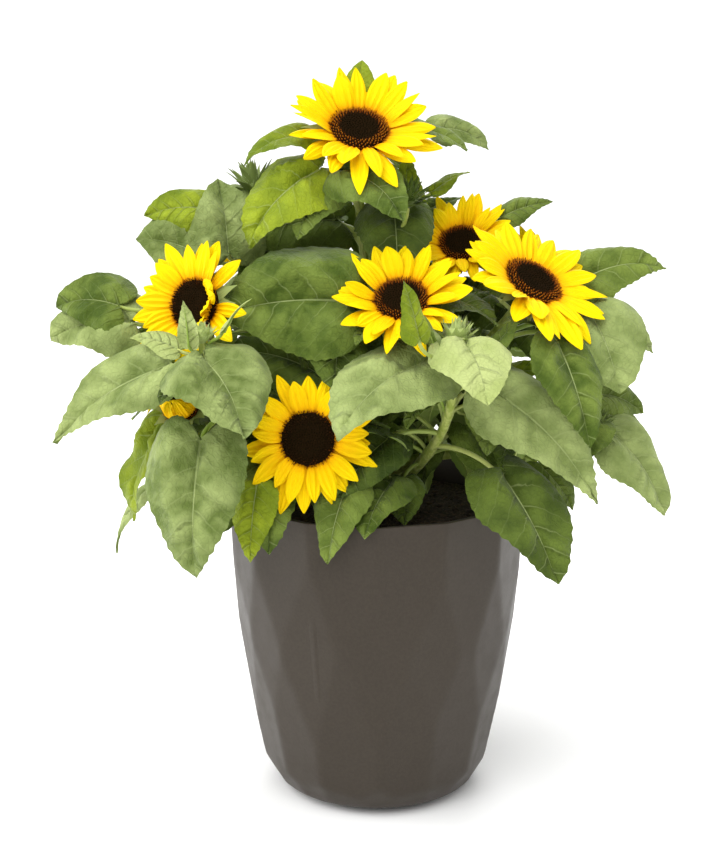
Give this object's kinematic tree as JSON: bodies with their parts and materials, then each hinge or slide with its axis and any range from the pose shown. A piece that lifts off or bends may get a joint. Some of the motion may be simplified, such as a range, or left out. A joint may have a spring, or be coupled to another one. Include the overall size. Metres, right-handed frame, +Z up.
{
  "type": "potted sunflower plant",
  "caption": "Bushy dwarf sunflower with leafy side stems and open yellow blooms, growing in a round faceted planter.",
  "frame": {"origin": "centre of the planter's flat underside, at floor level", "axes": "+Z up; the plant is seen from the front along +Y, so its right side is +X"},
  "size_m": [0.4851, 0.3738, 0.6025],
  "materials": {
    "planter": "matte",
    "soil": "rough",
    "stem": "satin",
    "leaf": "matte",
    "petal": "matte"
  },
  "bodies": {
    "root": {"pot": "planter", "soil": "soil", "main_stem": "stem", "side_stem_front": "stem", "side_stem_centre": "stem", "side_stem_right": "stem", "side_stem_right_low": "stem", "side_stem_back_right": "stem", "side_stem_left": "stem", "side_stem_left_low": "stem", "side_stem_front_left": "stem", "side_stem_crown_left": "stem", "side_stem_left_under": "stem", "side_stem_back_left": "stem", "side_stem_back": "stem", "side_stem_right_back": "stem", "side_stem_left_back": "stem", "side_stem_inner": "stem", "leaves_crown": "leaf", "bloom_crown": "petal", "leaves_front": "leaf", "leaves_centre": "leaf", "bloom_centre": "petal", "leaves_right": "leaf", "bloom_right": "petal", "leaves_right_low": "leaf", "leaves_back_right": "leaf", "bloom_back_right": "petal", "leaves_left": "leaf", "bloom_left": "petal", "leaves_left_low": "leaf", "leaves_front_left": "leaf", "bloom_front_left": "petal", "leaves_crown_left": "leaf", "leaves_left_under": "leaf", "bloom_left_under": "petal", "leaves_back_left": "leaf", "bloom_back_left": "petal", "leaves_back": "leaf", "bloom_back": "petal", "leaves_right_back": "leaf", "bloom_right_back": "petal", "leaves_left_back": "leaf", "bloom_left_back": "petal", "leaves_inner": "leaf"}
  },
  "joints": []
}
